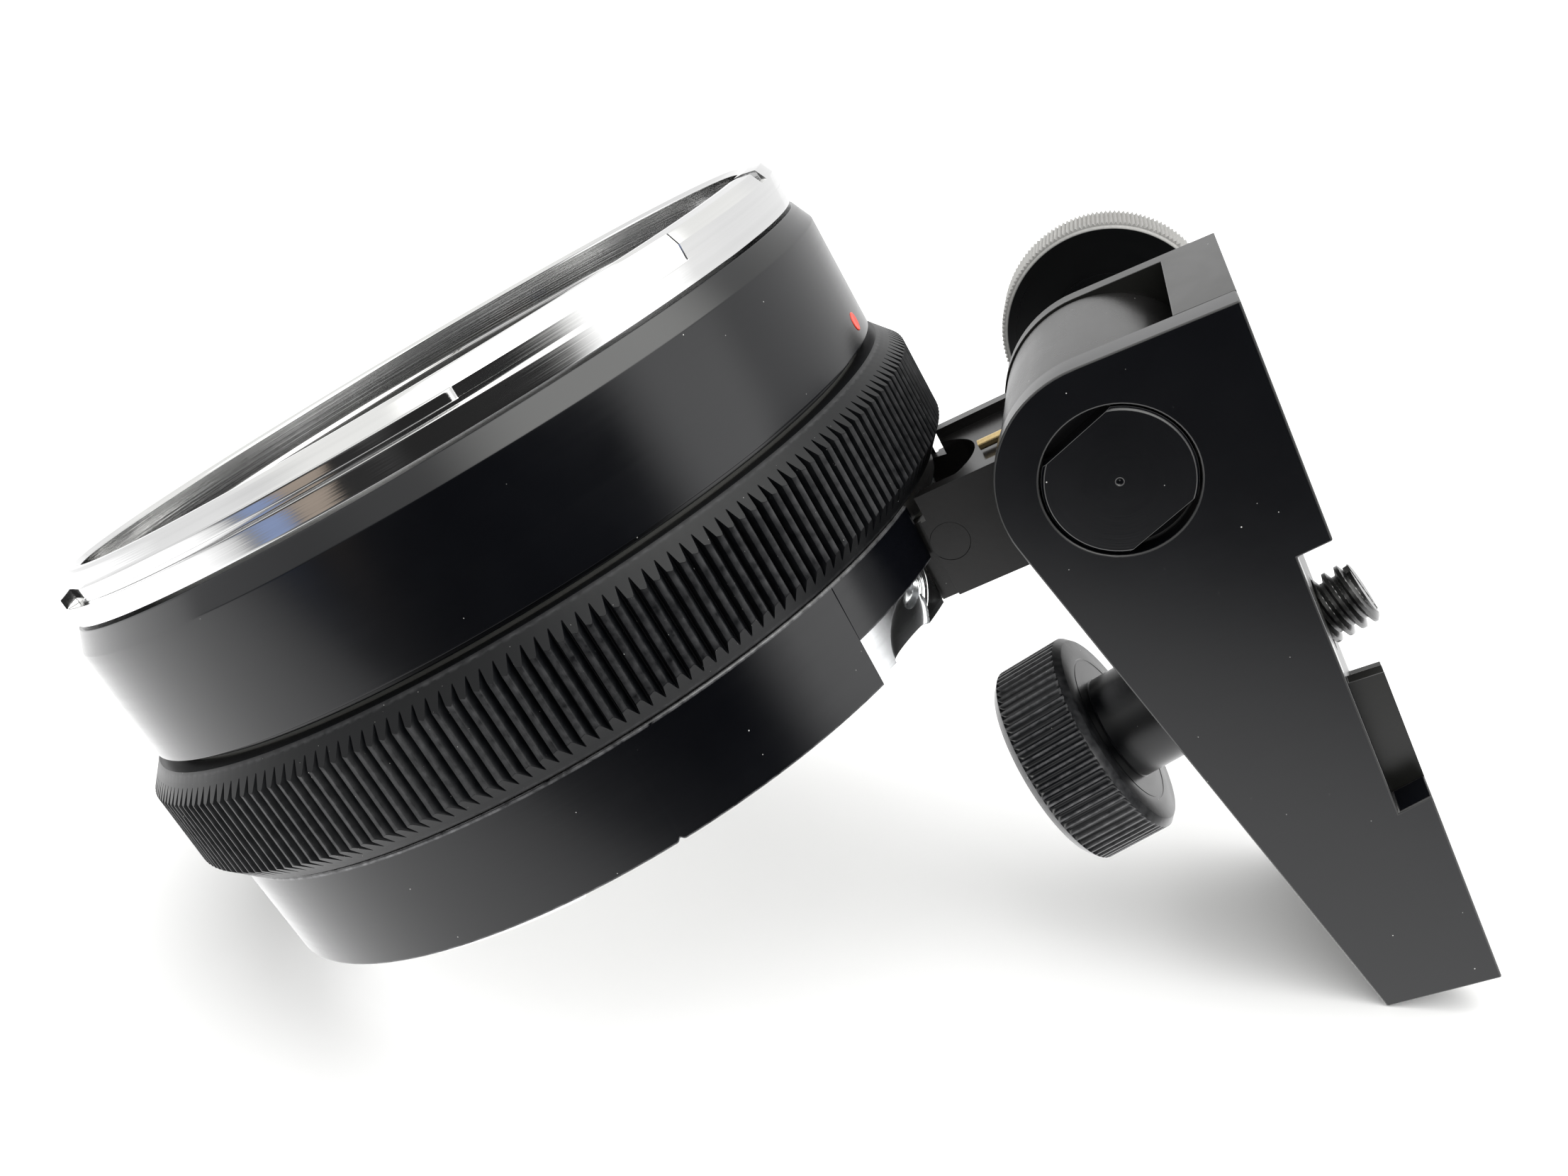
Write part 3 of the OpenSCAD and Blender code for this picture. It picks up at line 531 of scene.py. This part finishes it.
# ---- Index dot ---------------------------------------------------------------------------------
# A drop of red enamel in a small cup on the barrel. It dries with a sunken middle.
DOT_HEIGHT, DOT_RADIUS, DOT_WALL, DOT_LIP = -11.4, 0.9, 40.48, 0.05
r = DOT_RADIUS * np.array([0, 0.25, 0.5, 0.7, 0.85, 0.95, 1, 1.02])
a = np.radians(np.arange(0, 360, 6))[:, None]
across, up = r * np.cos(a), r * np.sin(a)
lift = DOT_LIP * (r / DOT_RADIUS) ** 2 * np.array([1, 1, 1, 1, 1, 0.9, 0.5, -1])
out = np.sqrt(DOT_WALL ** 2 - across ** 2) + lift
dot = skin("red_index_dot", np.stack([out, across, DOT_HEIGHT + up], -1), ring_place, closed=False)
enamel, tree, shader, where = start_finish("red enamel", ring_place)
tone = use(tree, sheen, Vector=where)
tree.links.new(blend_colour(tree, tone["Grain"], (0.75, 0.035, 0.012, 1), (0.9, 0.07, 0.03, 1)),
               shader.inputs["Base Color"])
tree.links.new(maths(tree, "MULTIPLY_ADD", tone["Grain"], 0.15, 0.25), shader.inputs["Roughness"])
dot.data.materials.append(enamel)
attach(dot, "ring")
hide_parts("index_dot")

# ---- Grip ring ---------------------------------------------------------------------------------
# Knurled ring between two plain bevelled rims. The V cuts run straight along it and end in points
# on the bevels, and their crests are worn.
TEETH, CREST, ROOT, RIM_EDGE = 216, 42.7, 41.65, 41.0
GRIP_TOP, GRIP_LOW, BEVEL_RUN, GRIP_BORE = -14.3, -26.0, 2.0, 38.85
tooth = np.array([0.0, 0.1, 0.2, 0.56, 0.64, 0.72])
depth = np.array([0, 0, 0.12, 1, 1, 0.12])
turns = ((np.arange(TEETH)[:, None] + tooth) / TEETH * 360).reshape(-1)
tip = CREST - (CREST - ROOT) * np.tile(depth, TEETH)
crest = np.tile(np.array([0.9, 0.9, 0.2, 0, 0, 0.2]), TEETH)
run = BEVEL_RUN * (tip - RIM_EDGE) / (CREST - RIM_EDGE)
# Each row is a radius and a height: front rim, bevel, cut, bevel, back rim, bore
grip_rows = [(RIM_EDGE - 0.25 + 0 * tip, GRIP_TOP + 0 * tip), (RIM_EDGE + 0 * tip, GRIP_TOP - 0.22 + 0 * tip),
             *[(RIM_EDGE + w * (tip - RIM_EDGE), GRIP_TOP - 0.25 - w * run) for w in (0.08, 0.5, 0.94, 1)],
             (tip, GRIP_TOP - 0.33 - run), (tip, (GRIP_TOP + GRIP_LOW) / 2 + 0 * tip),
             (tip, GRIP_LOW + 0.33 + run),
             *[(RIM_EDGE + w * (tip - RIM_EDGE), GRIP_LOW + 0.25 + w * run) for w in (1, 0.94, 0.5, 0.08)],
             (RIM_EDGE + 0 * tip, GRIP_LOW + 0.22 + 0 * tip), (RIM_EDGE - 0.25 + 0 * tip, GRIP_LOW + 0 * tip),
             (GRIP_BORE + 0.2 + 0 * tip, GRIP_LOW + 0 * tip), (GRIP_BORE + 0 * tip, GRIP_LOW + 0.2 + 0 * tip),
             (GRIP_BORE + 0 * tip, GRIP_TOP - 0.2 + 0 * tip), (GRIP_BORE + 0.2 + 0 * tip, GRIP_TOP + 0 * tip)]
grid = spun(np.stack([np.stack(pair, -1) for pair in grip_rows], 1), turns)
wear = np.zeros(grid.shape[:2])
wear[:, 6:9] = crest[:, None]
wear[:, 1], wear[:, 13] = 0.7, 0.7
grip = skin("knurled_grip", grid, ring_place, edge=wear)
grip.data.set_sharp_from_angle(angle=math.radians(24))
knurl_black = black_finish("knurled black", ring_place, (0.0009, 0.0011, 0.0016, 1), 0.4, wear=0.1,
                           specks=0.95, cells=1.9)
DULL_SHINE = 0.24
knurl_black.node_tree.nodes["Principled BSDF"].inputs["Specular IOR Level"].default_value = DULL_SHINE
grip.data.materials.append(knurl_black)
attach(grip, "grip")
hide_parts("grip_ring")

# ---- Rear barrel -------------------------------------------------------------------------------
# Short black barrel behind the grip. It is cut away beside the arm, where the bare pad shows, and
# its rim has one small knock.
REAR_WALL, REAR_BORE, REAR_RIM, OPENING_TOP = 40.1, 38.9, -36.5, -32.0
OPENING_START, ARM_HALF_BEARING = -34.3, 14.7
SHOULDER_WALL, SHOULDER_LOW, SHOULDER_EDGE, SHOULDER_TOP, SKIRT_TOP = 40.35, -26.5, 40.25, -26.3, -28.5
KNOCK_AT, KNOCK_DEPTH, KNOCK_WIDTH = -66, 0.28, 0.3
sweep = np.unique(np.concatenate([np.arange(ARM_HALF_BEARING, 360 - ARM_HALF_BEARING + 0.01, 0.5),
                                  360 + OPENING_START + near_ends, 360 + KNOCK_AT + near_ends]))
low = REAR_RIM + (OPENING_TOP - REAR_RIM) * step(sweep, 360 + OPENING_START, SHARP)
low = low + KNOCK_DEPTH * np.exp(-((sweep - 360 - KNOCK_AT) / KNOCK_WIDTH) ** 2)
level = np.ones_like(sweep)
fixed = ((SHOULDER_WALL, SHOULDER_LOW), (SHOULDER_EDGE, SHOULDER_TOP), (REAR_WALL, SHOULDER_TOP),
         (REAR_WALL, SKIRT_TOP), (REAR_BORE, SKIRT_TOP))
corners = np.stack([np.stack([REAR_BORE * level, low], -1), np.stack([REAR_WALL * level, low], -1),
                    *[np.stack([radius * level, height * level], -1) for radius, height in fixed]], 1)
line, wear = rounded(corners, 0.06)
middle = line.mean(1, keepdims=True)
line = np.concatenate([middle[:1] + 0 * line[:1], line, middle[-1:] + 0 * line[-1:]])
wear = np.concatenate([0 * wear[:1], wear, 0 * wear[-1:]])
sweep = np.concatenate([sweep[:1], sweep, sweep[-1:]])
rear = skin("rear_barrel_tube", spun(line, sweep), ring_place, around=False, edge=wear)
rear.data.materials.append(satin)
even_shading(rear)
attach(rear, "ring")
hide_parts("rear_barrel")

# ---- Mount pad ---------------------------------------------------------------------------------
# Bare aluminium pad in the opening, milled flat to the barrel's curve. It has a threaded hole, half
# under the barrel's edge, and a long scooped pocket below it.
PAD_WALL, PAD_LOW, PAD_HIGH, PAD_BACK = 39.2, -36.33, -32.05, 37.45
PAD_FROM, PAD_TO = -34, -15.3
HOLE_AXIS = np.array([0.28, -0.88, -0.38])
HOLE_SPOT, HOLE_RADIUS, HOLE_DEPTH, SINK_RADIUS = (-20.6, -33.35), 1.0, 1.6, 1.55
SCOOP_SPOT, SCOOP_RADIUS, SCOOP_DEPTH, SCOOP_PULL = (-24.6, -35.2), 2.5, 0.95, 0.62
SINK_DEPTH, RIPPLE_DEPTH, RIPPLE_STEP, RIPPLE_REACH = 0.5, 0.05, 0.3, 0.4
ALONG_HOLE, ALONG_RADIUS, BACK_WEB = 0.7, 0.3, 0.1
swing, tall = np.radians(np.linspace(PAD_FROM, PAD_TO, 420)), np.linspace(PAD_LOW, PAD_HIGH, 220)
swing, tall = swing[:, None] + 0 * tall, tall + 0 * swing[:, None]
face = np.stack([PAD_WALL * np.cos(swing), PAD_WALL * np.sin(swing), tall], -1)
axis = HOLE_AXIS / np.linalg.norm(HOLE_AXIS)


def off_axis(points, spot, along):
    """Distance of points from a line along a direction through a spot given by bearing and height."""
    turned = math.radians(spot[0])
    line_from = np.array([PAD_WALL * math.cos(turned), PAD_WALL * math.sin(turned), spot[1]])
    gap = points - line_from
    return np.linalg.norm(gap - (gap @ along)[..., None] * along, axis=-1)


away = off_axis(face, HOLE_SPOT, axis)
hole = 1 - step(away, HOLE_RADIUS, SHARP)
sink = np.clip((SINK_RADIUS - away) / (SINK_RADIUS - HOLE_RADIUS), 0, 1)
rings = RIPPLE_DEPTH * np.cos(2 * math.pi * away / RIPPLE_STEP)
rings = rings * (away > HOLE_RADIUS) * (away < SINK_RADIUS + RIPPLE_REACH)
spread = off_axis(face, SCOOP_SPOT, axis) / SCOOP_RADIUS
scoop = np.sqrt(np.clip(1 - spread ** 2, 0, 1)) ** SCOOP_PULL
deep = np.maximum.reduce([HOLE_DEPTH * hole, SINK_DEPTH * sink - rings, SCOOP_DEPTH * scoop])
outwards = np.stack([np.cos(swing), np.sin(swing), 0 * swing], -1)
face = face - deep[..., None] * (axis * ALONG_HOLE + outwards * ALONG_RADIUS)
bore = np.hypot(face[..., 0], face[..., 1])
face[..., :2] *= (np.maximum(bore, PAD_BACK + BACK_WEB) / bore)[..., None]
face[..., 2] = np.clip(face[..., 2], PAD_LOW, PAD_HIGH)
back_face = np.stack([PAD_BACK * np.cos(swing), PAD_BACK * np.sin(swing), tall], -1)
grid = np.concatenate([back_face[:, :1], face, back_face[:, -1:]], 1)
middle = grid[:, :1] * 0 + back_face.mean(1, keepdims=True)
grid = np.concatenate([middle[:1] + 0 * grid[:1], grid, middle[-1:] + 0 * grid[-1:]])
pad = skin("bare_mount_pad", grid, ring_place, around=False)
pad.data.set_sharp_from_angle(angle=math.radians(40))
milled = bright_metal("bare aluminium", ring_place, (0.76, 0.77, 0.78, 1), 0.2, 3.5, 0.3)
pad.data.materials.append(milled)
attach(pad, "ring")
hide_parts("mount_pad")

# ---- Rear mount, sleeve and small ring parts ---------------------------------------------------
# The bright rear mount with its screws, the blackened sleeve inside the ring, the keeper spring and
# the arm's dowels keep their designed shapes and get their finishes.


def finished(node, finish):
    """Gives a designed piece its finish."""
    piece = frame["nodes"][node]
    piece.data.materials.clear()
    piece.data.materials.append(finish)
    return piece


rear_plated = bright_metal("plated rear mount", ring_place, (0.78, 0.78, 0.79, 1), 0.16, 7.0, 0.35)
finished("rear_mount", rear_plated)
finished("rear_screws", rear_plated)
sleeve_black = black_finish("matt black sleeve", ring_place, (0.035, 0.035, 0.031, 1), 0.42, lines=4.0)
finished("inner_sleeve", sleeve_black)
spring = bright_metal("spring steel", ring_place, (0.55, 0.55, 0.55, 1), 0.3, 12.0, 0.2)
finished("grip_keeper", spring)
finished("arm_dowels", spring)

# ---- Arm ---------------------------------------------------------------------------------------
# The square arm and its knuckle, milled from one block and anodised. Its edges are broken by hand,
# and a pocket is milled in its top.
bracket_axis = np.array(mounts["rail_face"]["axis"], float)
bracket_place = place_of(joints["tilt"]["pos_m"], np.cross(bracket_axis, [0, 1, 0]))

NEAR_POINT, FLAT_ANGLE, EDGE_ANGLE = 2e-6, 0.6, 28


def eased(node, name, width, finish, edge_finish):
    """A merged copy of a designed piece with its sharp edges turned into small rounds in the edge finish."""
    data = frame["nodes"][node].data.copy()
    work = bmesh.new()
    work.from_mesh(data)
    bmesh.ops.remove_doubles(work, verts=work.verts, dist=NEAR_POINT)
    bmesh.ops.dissolve_limit(work, angle_limit=math.radians(FLAT_ANGLE), verts=work.verts, edges=work.edges)
    work.to_mesh(data)
    work.free()
    data.shade_smooth()
    data.materials.clear()
    data.materials.append(finish)
    data.materials.append(edge_finish)
    piece = bpy.data.objects.new(name, data)
    bpy.context.scene.collection.objects.link(piece)
    ease = piece.modifiers.new("broken edges", "BEVEL")
    ease.width, ease.segments, ease.limit_method = width * MM, 2, "ANGLE"
    ease.angle_limit, ease.material, ease.use_clamp_overlap = math.radians(EDGE_ANGLE), 1, True
    even_shading(piece)
    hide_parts(node)
    return piece


arm_black = black_finish("arm black", ring_place, (0.0045, 0.0043, 0.0042, 1), 0.26, lines=2.0,
                         relief=0.25, grain=0.8)
arm_edge = black_finish("arm edges", ring_place, (0.03, 0.03, 0.03, 1), 0.3, lines=2.0, relief=0.2)
arm = eased("arm_block", "arm_and_knuckle", 0.22, arm_black, arm_edge)
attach(arm, "ring")
finished("arm_cross_pin", arm_black)
brass = bright_metal("turned brass", ring_place, (0.72, 0.55, 0.28, 1), 0.25, 9.0, 0.25)
finished("stop_pin", brass)
finished("knuckle_bush", brass)

# ---- Bracket -----------------------------------------------------------------------------------
# The bracket body and the side plate screwed to it, milled from bar and anodised satin black.
plate_black = black_finish("bracket black", bracket_place, SATIN_BLACK, 0.2, lines=2.0, relief=0.06,
                           specks=0.45)
plate_edge = black_finish("bracket edges", bracket_place, (0.02, 0.02, 0.02, 1), 0.22, lines=2.0, relief=0.05)
body_black = black_finish("blasted black", bracket_place, (0.0042, 0.0042, 0.0036, 1), 0.32, lines=2.0,
                          relief=0.2, grain=1.0, specks=0.5)
body = eased("bracket_body", "bracket_body_block", 0.26, body_black, plate_edge)
plate = eased("side_plate", "bracket_side_plate", 0.24, plate_black, plate_edge)
for piece in (body, plate):
    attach(piece, "bracket")
dark_steel = black_finish("blackened steel", bracket_place, (0.02, 0.02, 0.02, 1), 0.3, lines=9.0)
caps = eased("plate_screws", "plate_cap_screws", 0.1, dark_steel, plate_edge)
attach(caps, "bracket")
fibre = black_finish("fibre", bracket_place, (0.09, 0.065, 0.045, 1), 0.7, grain=1.5)
finished("friction_washers", fibre)
finished("clamp_washer", bright_metal("washer steel", bracket_place, (0.55, 0.55, 0.55, 1), 0.3, 9.0, 0.2))

# ---- Pivot bolt --------------------------------------------------------------------------------
# The big round head with two flats. Its face is turned, so fine rings show round its centre.
bolt_turn = bracket_place.copy()
bolt_turn[:3, :3] = np.stack([bracket_place[:3, 0], bracket_place[:3, 2], -bracket_place[:3, 1]], 1)
bolt_black = black_finish("turned black bolt", bolt_turn, (0.0009, 0.0011, 0.0018, 1), 0.24, lines=8.0,
                          relief=0.3, specks=0.5)
bolt_edge = black_finish("bolt edge", bolt_turn, (0.04, 0.04, 0.04, 1), 0.2, lines=8.0, relief=0.1)
bolt = eased("pivot_bolt", "pivot_bolt_turned", 0.1, bolt_black, bolt_edge)
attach(bolt, "bracket")

# ---- Clamp knob --------------------------------------------------------------------------------
# Knurled disc on a long sleeve behind the bracket, with a brass nut in it. The black has rubbed off
# its knurl.
clamp_low, clamp_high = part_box("clamp_knob")
CLAMP_RADIUS = (clamp_high[0] - clamp_low[0]) / 2 / MM
RUBBED_BAND, RUBBED_EDGE = 0.75, 0.2
CLAMP_BLACK, RUBBED_METAL = (0.0012, 0.0014, 0.0018, 1), (0.36, 0.355, 0.34, 1)
clamp_black, tree, shader, where = start_finish("clamp black", bolt_turn)
axes = put(tree, "SeparateXYZ", Vector=where).outputs
square = maths(tree, "MULTIPLY", axes["Y"], axes["Y"])
reach = maths(tree, "SQRT", maths(tree, "MULTIPLY_ADD", axes["X"], axes["X"], square))
RUBBED_FROM = CLAMP_RADIUS - RUBBED_BAND
rubbed = put(tree, "MapRange", i0=reach, i1=RUBBED_FROM, i2=RUBBED_FROM + RUBBED_EDGE).outputs[0]
tone = use(tree, sheen, Vector=where, Grain=3.0)
rings = use(tree, turned_lines, Vector=where, Fineness=6.0)
rubbed = maths(tree, "MULTIPLY", rubbed, maths(tree, "MULTIPLY_ADD", tone["Grain"], 0.5, 0.6))
tree.links.new(blend_colour(tree, rubbed, CLAMP_BLACK, RUBBED_METAL), shader.inputs["Base Color"])
rough = maths(tree, "MULTIPLY_ADD", rings["Streak"], 0.1, 0.24)
tree.links.new(maths(tree, "MULTIPLY_ADD", rubbed, 0.25, rough), shader.inputs["Roughness"])
tree.links.new(put(tree, "Bump", Height=rings["Height"], Strength=0.2, Distance=0.00002).outputs[0],
               shader.inputs["Normal"])
finished("clamp_knob", clamp_black)
finished("clamp_insert", brass)

# ---- Mounting screw and knob -------------------------------------------------------------------
# The quarter inch screw and its grooved knob. The thread is cut, and the tip is sawn for a driver.
screw_axis = np.array(joints["mount_turn"]["axis"], float)
screw_place = place_of(mounts["quarter_inch_screw"]["pos_m"], screw_axis)
PITCH, SCREW_CREST, SCREW_ROOT, SCREW_TIP, SCREW_TAIL = 1.27, 3.15, 2.42, 1.0, -9.0
FLANK_SLOPE, CREST_FLAT, TIP_STEP, TIP_SLOPE = 4.6, 0.65, 0.25, 1.3
SAW_HALF, SAW_DEPTH = 0.4, 0.55
heights = np.arange(SCREW_TAIL, SCREW_TIP, 0.04)
turning = np.arange(0, 360, 4)
phase = (heights[None, :] / PITCH - turning[:, None] / 360) % 1
ramp_in = np.clip(FLANK_SLOPE * np.abs(phase - 0.5) - CREST_FLAT, 0, 1)
thread = SCREW_CREST - (SCREW_CREST - SCREW_ROOT) * ramp_in
thread = np.minimum(thread, SCREW_ROOT + TIP_STEP + (SCREW_TIP - heights) * TIP_SLOPE)
sides = np.stack([thread, heights + 0 * thread], -1)
end = np.linspace(1, 0, 24)
last = sides[:, -1:, :1]
cap = np.concatenate([last * end[:, None], SCREW_TIP + 0 * last * end[:, None]], -1)
tail = np.concatenate([0 * sides[:, :1, :1], sides[:, :1, 1:]], -1)
grid = spun(np.concatenate([tail, sides, cap], 1), turning)
sawn = (np.abs(grid[..., 1]) < SAW_HALF) & (grid[..., 2] > SCREW_TIP - SAW_DEPTH)
grid[..., 2] = np.where(sawn, SCREW_TIP - SAW_DEPTH, grid[..., 2])
stud = skin("threaded_stud", grid, screw_place, closed=False)
stud.data.set_sharp_from_angle(angle=math.radians(30))
stud_steel = bright_metal("dark screw steel", screw_place, (0.16, 0.16, 0.16, 1), 0.28, 6.0, 0.4)
stud.data.materials.append(stud_steel)
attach(stud, "mount")
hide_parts("mount_screw")

KNOB_NEAR, KNOB_WIDE, KNOB_RADIUS, NECK_RADIUS, NECK_END = -25.8, 8.1, 10.65, 5.4, -11.35
GROOVES, GROOVE_DEPTH, GROOVE_HALF, KNOB_BEVEL, KNOB_BORE = 70, 0.42, 0.36, 0.75, 2.97
DISH_RADIUS, DISH_LIP, DISH_DEPTH = 6.5, 6.6, 0.6
FACE_LINE, LINE_EDGE, LINE_DEPTH, LINE_WIDTH = 7.9, 0.05, 0.04, 0.2
CORNER, BEVEL_CORNER, NECK_FILLET, NECK_CHAMFER, RUN_OUT, NEAR_BEVEL = 0.03, 0.04, 0.12, 0.15, 0.5, 0.8
part = np.linspace(0, 1, 10, endpoint=False)
turning = ((np.arange(GROOVES)[:, None] + part) / GROOVES * 360).reshape(-1)
groove = np.tile(np.clip(1 - (np.abs(part - 0.5) / GROOVE_HALF) ** 2, 0, 1) ** 0.5, GROOVES)
far_z, near_z = KNOB_NEAR - KNOB_WIDE, KNOB_NEAR
far_bevel, near_bevel = KNOB_BEVEL, KNOB_BEVEL * NEAR_BEVEL
level = 0 * turning
# Each pair is the share of the groove's depth and of its run-out
fade = ((0, 0.1), (0.45, 0.3), (0.8, 0.6), (1, 1))
far_face = [(KNOB_BORE, far_z + DISH_DEPTH), (DISH_RADIUS, far_z + DISH_DEPTH), (DISH_LIP, far_z),
            (KNOB_RADIUS - far_bevel - LINE_EDGE, far_z), (KNOB_RADIUS - far_bevel, far_z + CORNER),
            (KNOB_RADIUS - BEVEL_CORNER, far_z + far_bevel)]
near_face = [(KNOB_RADIUS - BEVEL_CORNER, near_z - near_bevel), (KNOB_RADIUS - near_bevel, near_z - CORNER),
             (KNOB_RADIUS - near_bevel - LINE_EDGE, near_z), (FACE_LINE, near_z),
             (FACE_LINE - LINE_EDGE, near_z - LINE_DEPTH), (FACE_LINE - LINE_WIDTH, near_z - LINE_DEPTH),
             (FACE_LINE - LINE_WIDTH - LINE_EDGE, near_z), (NECK_RADIUS + NECK_FILLET, near_z),
             (NECK_RADIUS, near_z + NECK_FILLET), (NECK_RADIUS, NECK_END - NECK_CHAMFER),
             (NECK_RADIUS - NECK_CHAMFER, NECK_END), (KNOB_BORE, NECK_END)]
knob_rows = [*[(radius + level, height + level) for radius, height in far_face],
             *[(KNOB_RADIUS - GROOVE_DEPTH * groove * deep, far_z + far_bevel + run * RUN_OUT + level)
               for deep, run in fade],
             *[(KNOB_RADIUS - GROOVE_DEPTH * groove * deep, near_z - near_bevel - run * RUN_OUT + level)
               for deep, run in reversed(fade)],
             *[(radius + level, height + level) for radius, height in near_face]]
grid = spun(np.stack([np.stack(pair, -1) for pair in knob_rows], 1), turning)
wear = np.zeros(grid.shape[:2])
wear[:, 3:6], wear[:, 14:17] = 0.5, 0.5
wear[:, 6:14] = (0.8 * (groove < 0.05))[:, None]
knob = skin("grooved_mount_knob", grid, screw_place, edge=wear)
knob.data.set_sharp_from_angle(angle=math.radians(32))
knob_black = black_finish("knob black", screw_place, (0.0016, 0.0019, 0.0026, 1), 0.3, lines=3.0,
                          relief=0.2, wear=0.25, specks=0.7)
knob.data.materials.append(knob_black)
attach(knob, "mount")
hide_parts("mount_knob")
finished("knob_pin", stud_steel)
finished("retaining_ring", stud_steel)
